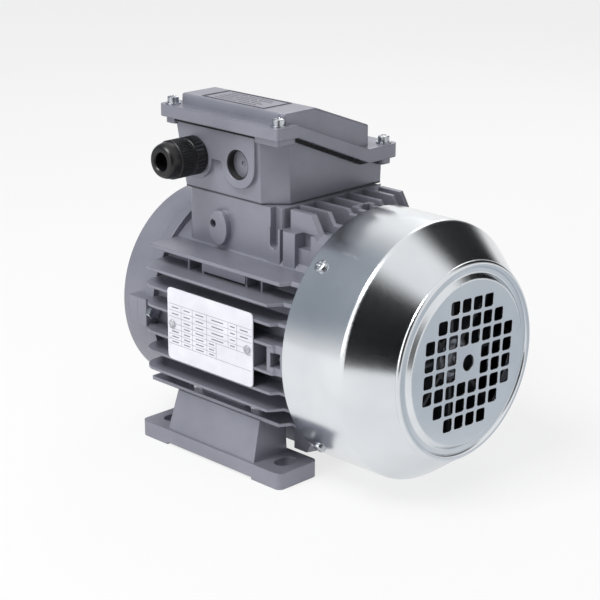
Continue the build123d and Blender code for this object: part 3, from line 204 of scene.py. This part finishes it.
# The record's material slots and the finish that each of them shows
slotFinish = {
    "housing": "castAluminiumSatinLacquer", "cover_sheet": "zincPlatedSteelSheet",
    "steel": "groundShaftSteel", "zinc_fasteners": "zincPlatedScrewSteel",
    "lamination": "varnishedLaminationSteel", "copper_winding": "enamelledCopperWire",
    "cast_aluminium": "rawDieCastAluminium", "fan_plastic": "mouldedGreyPolypropylene",
    "gasket_rubber": "nitrileRubberAndPaintedShade", "black_plastic": "mouldedBlackNylon",
    "board_resin": "mouldedPhenolicResin", "brass_terminals": "turnedBrass",
    "lead_insulation": "extrudedSiliconeInsulation", "rating_plate": "printedAluminiumPlate",
}
for part in frame["record"]["subparts"]:
    mesh = nodes[part["node"]].data
    mesh.materials.clear()
    mesh.materials.append(materials[slotFinish[part["material_slot"]]])
nodes["box_gasket"].data.materials.clear()  # the box stands on fibre sheet, not on rubber
nodes["box_gasket"].data.materials.append(materials["dieCutGreyFibreSheet"])
print("stage: materials", len(materials))

mm = 0.001  # lengths below are in millimetres until they go into a mesh
mergeDistance = 1e-6  # in metres
sharpAngle = math.radians(35)


def makePiece(name, points, faces, material, body, slotName, replaced=()):
    # A mesh from points in millimetres: doubles merged at seams and poles, faces turned
    # outwards, shading smooth except across edges sharper than the sharp angle.
    mesh = bpy.data.meshes.new(name)
    mesh.from_pydata((points.reshape(-1, 3) * mm).tolist(), [], faces.tolist())
    work = bmesh.new()
    work.from_mesh(mesh)
    bmesh.ops.remove_doubles(work, verts=work.verts, dist=mergeDistance)
    bmesh.ops.recalc_face_normals(work, faces=work.faces)
    work.to_mesh(mesh)
    work.free()
    mesh.polygons.foreach_set("use_smooth", np.ones(len(mesh.polygons), bool))
    mesh.set_sharp_from_angle(angle=sharpAngle)
    mesh.materials.append(materials[material])
    piece = bpy.data.objects.new(name, mesh)
    scene.collection.objects.link(piece)
    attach(piece, body)
    if replaced:
        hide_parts(*replaced)
    return piece


def gridFaces(rows, columns, wrapRows, wrapColumns):
    # Four-sided faces between neighbouring lines of a grid of rows by columns; a wrapped
    # direction joins its last line to its first.
    i, j = np.meshgrid(
        np.arange(rows if wrapRows else rows - 1),
        np.arange(columns if wrapColumns else columns - 1), indexing="ij")
    nextRow, nextColumn = (i + 1) % rows, (j + 1) % columns
    corners = (i * columns + j, i * columns + nextColumn,
               nextRow * columns + nextColumn, nextRow * columns + j)
    return np.stack(corners, axis=-1).reshape(-1, 4)


def alongProfile(corners, step):
    # Points along a polyline, each length cut into equal pieces no longer than the step.
    corners = np.array(corners, float)
    runs = [start + (end - start) * np.linspace(0, 1, max(1, math.ceil(
        np.linalg.norm(end - start) / step)), endpoint=False)[:, None]
        for start, end in zip(corners[:-1], corners[1:])]
    return np.vstack(runs + [corners[-1:]])


# Cable gland: body and domed nut, both gripped by fine ribs
gland = {
    "x": -42.5, "z": 181.0, "bore": 5.5, "radius": 12.0, "sleeve": 10.0, "thread": 8.0,
    "inside": 36.0, "face": 49.0, "bodyEnd": 58.0, "sleeveEnd": 69.0, "seal": 8.05,
    "nutStart": 58.2, "shoulder": 69.6, "tip": 77.0, "tipRadius": 8.3, "ledge": 0.7,
    "nutRibs": 44, "bodyRibs": 28, "nutRibDepth": 0.45, "bodyRibDepth": 0.6,
    "pointsPerRib": 6, "ribFade": 0.5, "skin": 0.05, "ribInset": 0.8, "collar": 1.4,
    "edge": 0.35, "step": 0.8, "fineStep": 0.6, "domeRows": 14,
    "nutClearance": 0.05, "nutFloor": 70.0, "mouthEase": 0.8,
}


def ribbedTurning(name, profile, ribs, depth, ribStart, ribEnd, outer, replaced):
    # A profile of (distance, radius) turned round the gland's axis. Near the outer radius
    # the surface sinks between ribs: radius less depth times (1 - cos(ribs x angle)) / 2,
    # faded out over the rib fade at both ends of the ribbed length.
    count = ribs * gland["pointsPerRib"]
    angle = np.linspace(0, 2 * math.pi, count, endpoint=False)
    distance, radius = profile[:, 0][:, None], profile[:, 1][:, None]
    fade = (np.clip((distance - ribStart) / gland["ribFade"], 0, 1)
            * np.clip((ribEnd - distance) / gland["ribFade"], 0, 1))
    onSkin = radius > outer - gland["skin"]
    sink = depth * (1 - np.cos(ribs * angle)) / 2 * fade * onSkin
    spread = radius - sink
    points = np.stack([
        gland["x"] + spread * np.cos(angle), -distance + 0 * spread,
        gland["z"] + spread * np.sin(angle)], axis=-1)
    faces = gridFaces(len(profile), count, True, True)
    return makePiece(name, points, faces, "mouldedBlackNylon", "motor", "black_plastic", replaced)


def buildGland(values):
    # Body and nut are closed profiles of (distance, radius); the nut's outer end is a
    # quarter of an ellipse from the shoulder to the tip.
    r, bore, tip, edge = (values[k] for k in ("radius", "bore", "tip", "edge"))
    inset, ease = values["ribInset"], values["mouthEase"]
    body = alongProfile([
        (values["inside"], bore), (values["inside"], values["thread"]),
        (values["face"], values["thread"]), (values["face"], r - edge),
        (values["face"] + edge, r), (values["bodyEnd"] - edge, r), (values["bodyEnd"], r - edge),
        (values["bodyEnd"], values["sleeve"]), (values["sleeveEnd"], values["sleeve"]),
        (values["sleeveEnd"], values["seal"]), (values["bodyEnd"], values["seal"]),
        (values["bodyEnd"], bore)], values["step"])
    ribbedTurning("glandBody", body, values["bodyRibs"], values["bodyRibDepth"],
                  values["face"] + values["collar"], values["bodyEnd"] - inset, r, ["gland_body"])
    bend = np.linspace(0, math.pi / 2, values["domeRows"])
    start, base = values["shoulder"], r - values["ledge"]
    dome = np.column_stack([
        start + (tip - start) * np.sin(bend),
        values["tipRadius"] + (base - values["tipRadius"]) * np.cos(bend)])
    sleeve = values["sleeve"] + values["nutClearance"]
    nutStart, floor = values["nutStart"], values["nutFloor"]
    grip = alongProfile([(nutStart, sleeve), (nutStart, r - edge), (nutStart + edge, r),
                         (start - edge, r), (start, r - edge)], values["fineStep"])
    mouth = alongProfile([(tip, bore + ease), (tip - ease, bore), (floor, bore),
                          (floor, sleeve)], values["step"])
    ribbedTurning("glandNut", np.vstack([grip, dome, mouth]), values["nutRibs"],
                  values["nutRibDepth"], nutStart + inset, start - inset, r, ["gland_nut"])


buildGland(gland)
print("stage: gland")

# Screws with a cross recess: on the lid they stand on washers, on the cover they face outwards.
# A screw's recess is turned by the first turn plus its number times the turn step, in radians.
lidScrew = {
    "radius": 3.6, "rise": 4.0, "dome": 0.7, "shank": 2.0, "length": 12.0,
    "arm": 2.3, "armHalf": 0.42, "recess": 1.5, "recessWall": 0.12, "angles": 96, "rings": 26,
    "firstTurn": 0.4, "turnStep": 0.9,
    "centre": -19.25, "offset": 46.0, "nearSeat": 209.1, "farSeat": 184.9, "washer": 0.8,
}
coverScrew = {
    "radius": 4.0, "rise": 2.4, "dome": 1.3, "shank": 2.0, "length": 11.0,
    "arm": 2.2, "armHalf": 0.42, "recess": 1.1, "recessWall": 0.12, "angles": 96, "rings": 26,
    "firstTurn": 0.4, "turnStep": 0.9,
    "x": 72.0, "coverRadius": 79.0, "shaftHeight": 80.0, "around": [45, 135, 225, 315],
}


def screwPoints(look, turn):
    # Heights over rings and angles: the head is rise less dome x (ring / radius)^4, less a
    # cross recess whose two arms slope up to the surface at their ends, and then the side,
    # the underside and the shank close it down to the point.
    angle = np.linspace(0, 2 * math.pi, look["angles"], endpoint=False)
    ring = np.linspace(0, look["radius"], look["rings"])[:, None]
    x, y = ring * np.cos(angle - turn), ring * np.sin(angle - turn)
    top = look["rise"] - look["dome"] * (ring / look["radius"]) ** 4 + 0 * x
    fromArm = look["armHalf"] - np.minimum(abs(x), abs(y))
    across = np.clip(fromArm / look["recessWall"] + 0.5, 0, 1)
    slope = np.clip(1.0 - (ring / look["arm"]) ** 2, 0, 1)
    top = top - look["recess"] * across * slope
    rim = [(look["radius"], 0.0), (look["shank"], 0.0), (look["shank"], -look["length"]),
           (0.0, -look["length"])]
    below = np.array([[(r * math.cos(a), r * math.sin(a), h) for a in angle] for r, h in rim])
    head = np.stack([ring * np.cos(angle), ring * np.sin(angle), top], axis=-1)
    return np.concatenate([head, below])


def buildScrews(name, look, places, slotName, replaced):
    # places: (origin, sideways, upward, outward) for each screw of the set
    sets, faces, start = [], [], 0
    for k, (origin, sideways, upward, outward) in enumerate(places):
        local = screwPoints(look, look["firstTurn"] + look["turnStep"] * k)
        rows, columns = local.shape[:2]
        frameAxes = np.array([sideways, upward, outward])
        sets.append(local.reshape(-1, 3) @ frameAxes + np.array(origin))
        faces.append(gridFaces(rows, columns, False, True) + start)
        start += rows * columns
    makePiece(name, np.vstack(sets), np.vstack(faces), "zincPlatedScrewSteel", "motor",
              slotName, replaced)


lidPlaces = [
    ((lidScrew["centre"] + side * lidScrew["offset"], row * lidScrew["offset"],
      (lidScrew["nearSeat"] if row < 0 else lidScrew["farSeat"]) + lidScrew["washer"]),
     (1, 0, 0), (0, 1, 0), (0, 0, 1))
    for side in (-1, 1) for row in (-1, 1)]
buildScrews("lidScrews", lidScrew, lidPlaces, "zinc_fasteners", ["lid_screws"])


def coverPlace(degrees):
    c, s = math.cos(math.radians(degrees)), math.sin(math.radians(degrees))
    origin = (coverScrew["x"], coverScrew["coverRadius"] * c,
              coverScrew["shaftHeight"] + coverScrew["coverRadius"] * s)
    return origin, (1, 0, 0), (0, -s, c), (0, c, s)


buildScrews("coverScrews", coverScrew, [coverPlace(a) for a in coverScrew["around"]],
            "zinc_fasteners", ["fan_cover_screws"])
print("stage: screws")


def barPoints(bars, origin, sideways, upward, outward):
    # Many flat bars as boxes: each row of bars is (middle across, middle up, length,
    # height, rise), laid on the plane through the origin.
    bars = np.array(bars, float)
    signs = np.array([(i, j, k) for i in (-0.5, 0.5) for j in (-0.5, 0.5) for k in (0, 1)])
    local = np.empty((len(bars), 8, 3))
    local[:, :, 0] = bars[:, None, 0] + signs[:, 0] * bars[:, None, 2]
    local[:, :, 1] = bars[:, None, 1] + signs[:, 1] * bars[:, None, 3]
    local[:, :, 2] = signs[:, 2] * bars[:, None, 4]
    points = local.reshape(-1, 3) @ np.array([sideways, upward, outward]) + np.array(origin)
    box = np.array([(0, 1, 3, 2), (4, 6, 7, 5), (0, 4, 5, 1),
                    (2, 3, 7, 6), (0, 2, 6, 4), (1, 5, 7, 3)])
    faces = (np.arange(len(bars))[:, None, None] * 8 + box).reshape(-1, 4)
    return points, faces


# Rolled bead round the grille, and a dark sleeve of painted shade that lines the threaded wall of
# the blanked entry
coverBead = {
    "shaftHeight": 80.0, "front": 133.9, "radius": 58.2, "half": 2.3, "rise": 2.3,
    "bendRows": 15, "turnSteps": 240,
}
blankEntryShadeSleeve = {
    "x": -5.0, "z": 181.0, "radius": 9.2, "depth": 0.35, "pitch": 1.5,
    "mouth": 48.7, "floor": 44.2, "wall": 0.5, "depthRows": 40, "turnSteps": 120,
}


def buildCoverBead(values):
    # Half a flattened round carried round the shaft: across the bead the height is
    # rise x sin(angle), the radius is the bead's own less half x cos(angle).
    bend = np.linspace(0, math.pi, values["bendRows"])[:, None]
    angle = np.linspace(0, 2 * math.pi, values["turnSteps"], endpoint=False)
    spread = values["radius"] - values["half"] * np.cos(bend) + 0 * angle
    points = np.stack([
        values["front"] + values["rise"] * np.sin(bend) + 0 * angle,
        spread * np.cos(angle), values["shaftHeight"] + spread * np.sin(angle)], axis=-1)
    faces = gridFaces(*points.shape[:2], True, True)
    makePiece("coverBead", points, faces, "zincPlatedSteelSheet", "motor", "cover_sheet")


def buildBlankEntryShadeSleeve(values):
    # A sleeve of painted shade inside the hole: its inner radius waves by depth x cos(2 pi x
    # distance / pitch plus the angle), which climbs one pitch in a turn, and its outer radius is
    # plain.
    along = np.linspace(values["floor"], values["mouth"], values["depthRows"])[:, None]
    angle = np.linspace(0, 2 * math.pi, values["turnSteps"], endpoint=False)
    wave = np.cos(2 * math.pi * along / values["pitch"] + angle)
    inner = values["radius"] - values["wall"] - values["depth"] * (1 + wave) / 2
    outer = values["radius"] + 0 * inner
    radius = np.concatenate([inner, outer[::-1]])
    distance = np.concatenate([along, along[::-1]])
    points = np.stack([
        values["x"] + radius * np.cos(angle), -distance + 0 * radius,
        values["z"] + radius * np.sin(angle)], axis=-1)
    faces = gridFaces(*points.shape[:2], True, True)
    # painted shade: black rubber's colour stands in for the shadow on the hole's threaded wall
    makePiece("blankEntryShadeSleeve", points, faces, "nitrileRubberAndPaintedShade", "motor", "gasket_rubber")


buildCoverBead(coverBead)
buildBlankEntryShadeSleeve(blankEntryShadeSleeve)
print("stage: bead and blank entry")

# Framed panel on the lid: a raised border darkened as painted shade in place of an engraved groove,
# and plain ruling darkened a little as painted shade
lidPanel = {
    "middle": (-18.9, -28.0), "top": 215.7, "length": 54.0, "width": 23.6, "border": 0.9,
    "borderRise": 0.35, "rowRise": 0.18, "rowHeight": 0.9,
    # each row of ruling: place up from the middle, and its bars as (start, length)
    "rows": [(7.4, [(-20, 13), (-5, 20)]), (3.8, [(-20, 9), (-9, 14), (7, 11)]),
             (0.2, [(-20, 22), (4, 8)]), (-3.4, [(-20, 12), (-6, 12), (8, 9)]),
             (-7.0, [(-20, 18), (0, 15)])],
}


def frameBars(length, width, border, rise):  # four bars along the edges of a rectangle
    return [(0, side * (width - border) / 2, length, border, rise) for side in (-1, 1)] + [
        (side * (length - border) / 2, 0, border, width - 2 * border, rise) for side in (-1, 1)]


def buildLidPanel(values):
    origin = (*values["middle"], values["top"])
    plane = (origin, (1, 0, 0), (0, 1, 0), (0, 0, 1))
    border = frameBars(values["length"], values["width"], values["border"], values["borderRise"])
    # painted shade: the border's dark tone stands for the shadow in an engraved groove
    makePiece("lidPanelFrame", *barPoints(border, *plane), "shadedCastEdge", "motor", "housing")
    rows = [(start + length / 2, up, length, values["rowHeight"], values["rowRise"])
            for up, runs in values["rows"] for start, length in runs]
    # painted shade: the ruling is a darker tone of the casting
    makePiece("lidPanelRuling", *barPoints(rows, *plane), "shadedCastRuling", "motor", "housing")


buildLidPanel(lidPanel)

# Rating plate: the ruling of a table, with plain dashes in its cells
platePrint = {
    "middle": (2.2, 82.15), "face": -79.8, "length": 75.0, "height": 46.0, "ink": 0.03,
    "line": 0.22, "rules": [0.22, 0.31, 0.40, 0.49, 0.565, 0.64, 0.71, 0.78],
    "shortFrom": 4, "shortEnd": 0.58, "columns": [0.165, 0.30, 0.47, 0.58],
    "upperColumns": [0.165, 0.30, 0.47, 0.72, 0.82], "ruleStart": 0.015, "ruleEnd": 0.985,
    "cellStart": 0.02, "cellEnd": 0.98, "dashShare": 0.55, "dashHeight": 0.7,
    "rivetOffset": 33.0, "rivetZone": 5.2, "rivetZoneHalfHeight": 4.5,
}


def buildPlatePrint(values):
    # Fractions run from the plate's left end and from its top edge. A cell holds one dash,
    # unless a rivet stands there.
    length, height, line, ink = (values[k] for k in ("length", "height", "line", "ink"))
    left, top = -length / 2, height / 2
    bars, rules, ruleStart = [], values["rules"], values["ruleStart"]
    for k, share in enumerate(rules):
        whole = k <= values["shortFrom"] or k == len(rules) - 1
        end = values["ruleEnd"] if whole else values["shortEnd"]
        bars.append((left + length * (ruleStart + end) / 2, top - share * height,
                     length * (end - ruleStart), line, ink))
    for k, (upper, lower) in enumerate(zip(rules[:-1], rules[1:])):
        short = k >= values["shortFrom"]
        columns = values["columns"] if short else values["upperColumns"]
        middle, tall = top - (upper + lower) / 2 * height, (lower - upper) * height
        for share in columns:
            bars.append((left + share * length, middle, line, tall, ink))
        edges = [values["cellStart"]] + columns + ([] if short else [values["cellEnd"]])
        for start, end in zip(edges[:-1], edges[1:]):
            centre = left + length * (start + end) / 2
            wide = length * (end - start) * values["dashShare"]
            besideRivet = abs(abs(centre) - values["rivetOffset"]) < values["rivetZone"]
            if not (besideRivet and abs(middle) < values["rivetZoneHalfHeight"]):
                bars.append((centre, middle, wide, values["dashHeight"], ink))
    origin = (values["middle"][0], values["face"], values["middle"][1])
    plane = (origin, (1, 0, 0), (0, 0, 1), (0, -1, 0))
    makePiece("platePrint", *barPoints(bars, *plane), "screenPrintedInk", "motor", "rating_plate")


buildPlatePrint(platePrint)
print("stage: lid panel and plate print")

# The photograph's view: a long lens from the fan end and a little above
cameraView = {
    "azimuth": 44.3286, "elevation": 18.2171, "roll": 0.3824,
    "eye": (0.721083, -0.734802, 0.423190), "lens": 102.94, "shiftX": -0.0063, "shiftY": 0.0047,
    "clipEnd": 20,
}


def placeCamera(view):
    around, up, roll = (math.radians(view[key]) for key in ("azimuth", "elevation", "roll"))
    back = Vector((math.sin(around) * math.cos(up), -math.cos(around) * math.cos(up), math.sin(up)))
    right = Vector((math.cos(around), math.sin(around), 0.0))
    upward = back.cross(right)
    turnedRight = math.cos(roll) * right + math.sin(roll) * upward
    turnedUp = math.cos(roll) * upward - math.sin(roll) * right
    camera = bpy.data.objects.new("camera", bpy.data.cameras.new("camera"))
    camera.data.lens = view["lens"]
    camera.data.shift_x = view["shiftX"]
    camera.data.shift_y = view["shiftY"]
    camera.data.clip_end = view["clipEnd"]
    turn = Matrix((turnedRight, turnedUp, back)).transposed().to_4x4()
    camera.matrix_world = Matrix.Translation(Vector(view["eye"])) @ turn
    scene.collection.objects.link(camera)
    scene.camera = camera


placeCamera(cameraView)

# Studio: a pale floor, an even white room, three soft boxes, and cards that only reflections
# see, set as for a picture of bright metal
studio = {
    "centre": (0.0, 0.0, 0.09), "floorSize": 6.0, "floorColor": "#f4f4f4", "floorGlow": 0.80,
    "roomStrength": 0.50, "roomColor": "#f9f9f9",  # the floor glows in the room's colour
    "boxes": [
        # name, place, size, watts
        ("keyBox", (-0.10, -0.70, 1.25), 0.6, 14.0),
        ("fillBox", (-0.20, -1.30, 0.55), 0.9, 3.0),
        ("rimBox", (-0.35, 0.95, 0.9), 0.7, 3.5),
    ],
    "cards": [
        # name, azimuth, elevation, distance, width, height, colour
        ("backCard", 86.0, 31.0, 0.95, 1.45, 1.60, "#07080a"),
        ("frontCard", -50.0, 21.0, 0.56, 0.80, 1.30, "#07080a"),
        ("leftCard", -163.0, 25.0, 0.95, 2.3, 1.75, "#8e959e"),
        ("lowCard", 45.6, -18.0, 0.31, 0.75, 0.60, "#c2c8cf"),  # lies on the floor
    ],
    "cardAim": (0.115, -0.02, 0.10), "cardSoftEdge": 0.55,
}


def faceTowards(obj, place, aim):
    direction = Vector(aim) - Vector(place)
    turn = direction.to_track_quat("-Z", "Y").to_matrix().to_4x4()
    obj.matrix_world = Matrix.Translation(Vector(place)) @ turn


def flatSheet(name, width, height, material):  # a rectangle round its own origin
    mesh = bpy.data.meshes.new(name)
    w, h = width / 2, height / 2
    mesh.from_pydata([(-w, -h, 0), (w, -h, 0), (w, h, 0), (-w, h, 0)], [], [(0, 1, 2, 3)])
    mesh.materials.append(material)
    sheet = bpy.data.objects.new(name, mesh)
    scene.collection.objects.link(sheet)
    return sheet


def anyRay(material, kinds):  # 1 for a ray of any of the named kinds, 0 for the others
    rays = addNode(material, "ShaderNodeLightPath").outputs
    found = rays[kinds[0]]
    for kind in kinds[1:]:
        found = addNode(material, "ShaderNodeMath", {0: found, 1: rays[kind]},
                        operation="MAXIMUM").outputs[0]
    return found


def buildFloor(values):
    paper = newMaterial("matteWhiteBackdropPaper")
    seen = anyRay(paper, ["Is Camera Ray", "Is Glossy Ray"])
    share = addNode(paper, "ShaderNodeMath", {0: seen, 1: values["floorGlow"]},
                    operation="MULTIPLY")
    plain = addNode(paper, "ShaderNodeBsdfDiffuse", {"Color": linearColor(values["floorColor"])})
    glow = addNode(paper, "ShaderNodeEmission", {
        "Color": linearColor(values["roomColor"]), "Strength": 1.0})
    finishMaterial(paper, addNode(paper, "ShaderNodeMixShader", {
        0: share.outputs[0], 1: plain.outputs[0], 2: glow.outputs[0]}))
    floor = flatSheet("floor", values["floorSize"], values["floorSize"], paper)


def buildRoom(values):
    world = bpy.data.worlds.new("room")
    scene.world = world
    world.use_nodes = True
    world.node_tree.nodes.clear()
    shown = anyRay(world, ["Is Camera Ray", "Is Glossy Ray", "Is Transmission Ray"])
    light = addNode(world, "ShaderNodeBackground", {
        "Color": (1, 1, 1, 1), "Strength": values["roomStrength"]})
    back = addNode(world, "ShaderNodeBackground", {
        "Color": linearColor(values["roomColor"]), "Strength": 1.0})
    both = addNode(world, "ShaderNodeMixShader", {
        0: shown, 1: light.outputs[0], 2: back.outputs[0]})
    addNode(world, "ShaderNodeOutputWorld", {"Surface": both.outputs[0]})


def buildBoxes(values):
    for name, place, size, watts in values["boxes"]:
        lamp = bpy.data.lights.new(name, "AREA")
        lamp.shape = "SQUARE"
        lamp.size = size
        lamp.energy = watts
        box = bpy.data.objects.new(name, lamp)
        scene.collection.objects.link(box)
        faceTowards(box, place, values["centre"])


def buildCards(values):
    # Each card fades from its colour in the middle to clear at an ellipse that touches its
    # edges, so that a reflection of it has a soft border.
    for name, azimuth, elevation, distance, width, height, color in values["cards"]:
        felt = newMaterial(name + "Felt")
        matte = addNode(felt, "ShaderNodeEmission", {"Color": linearColor(color), "Strength": 1.0})
        local = addNode(felt, "ShaderNodeTexCoord").outputs["Object"]
        shape = addNode(felt, "ShaderNodeMapping", {
            "Vector": local, "Scale": (2 / width, 2 / height, 1.0)}, vector_type="POINT")
        ball = addNode(felt, "ShaderNodeTexGradient", {"Vector": shape.outputs["Vector"]},
                       gradient_type="SPHERICAL")
        mask = addNode(felt, "ShaderNodeMapRange", {
            "Value": ball.outputs["Fac"], "From Min": 0.0, "From Max": values["cardSoftEdge"],
            "To Min": 0.0, "To Max": 1.0}, interpolation_type="SMOOTHSTEP")
        clear = addNode(felt, "ShaderNodeBsdfTransparent")
        finishMaterial(felt, addNode(felt, "ShaderNodeMixShader", {
            0: mask.outputs["Result"], 1: clear.outputs[0], 2: matte.outputs[0]}))
        around, up = math.radians(azimuth), math.radians(elevation)
        direction = Vector((math.cos(around) * math.cos(up), math.sin(around) * math.cos(up),
                            math.sin(up)))
        place = Vector(values["cardAim"]) + distance * direction
        card = flatSheet(name, width, height, felt)
        faceTowards(card, place, values["centre"] if elevation > 0 else place - Vector((0, 0, 1)))
        card.visible_camera = False
        card.visible_diffuse = False
        card.visible_shadow = False
        card.visible_transmission = False


buildFloor(studio)
buildRoom(studio)
buildBoxes(studio)
buildCards(studio)
scene.view_settings.view_transform = "Standard"
print("stage: camera and studio")
